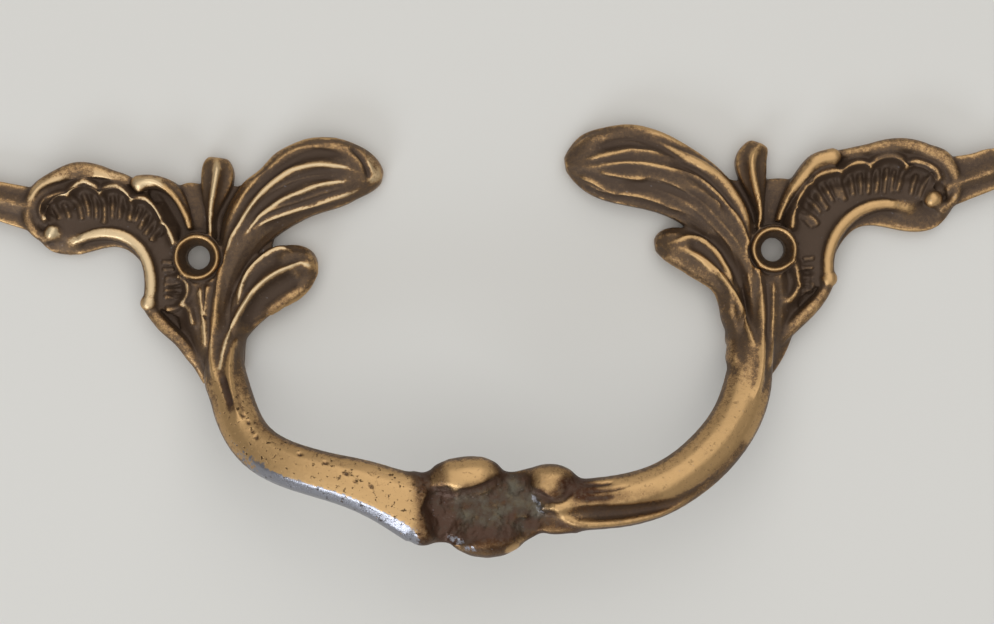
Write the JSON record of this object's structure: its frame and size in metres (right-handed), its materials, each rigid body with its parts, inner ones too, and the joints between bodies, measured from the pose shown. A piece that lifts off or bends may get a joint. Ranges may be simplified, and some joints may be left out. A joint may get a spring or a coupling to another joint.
{
  "type": "drawer pull",
  "caption": "Rococo drawer pull cast in brass: a bowed grip with a knotted middle between leafy wings with fluted shells, scrolled borders and countersunk screw holes.",
  "frame": {"origin": "midway between the two screw holes, in the plane of the flat back", "axes": "+X to the right along the line of the screw holes, +Y up the drawer front, +Z out from the drawer front"},
  "size_m": [0.1918, 0.0707, 0.0239],
  "materials": {
    "aged_brass": "aged cast brass, brown patina in the hollows and polished high points"
  },
  "bodies": {
    "root": {"pull": "aged_brass"}
  },
  "joints": []
}
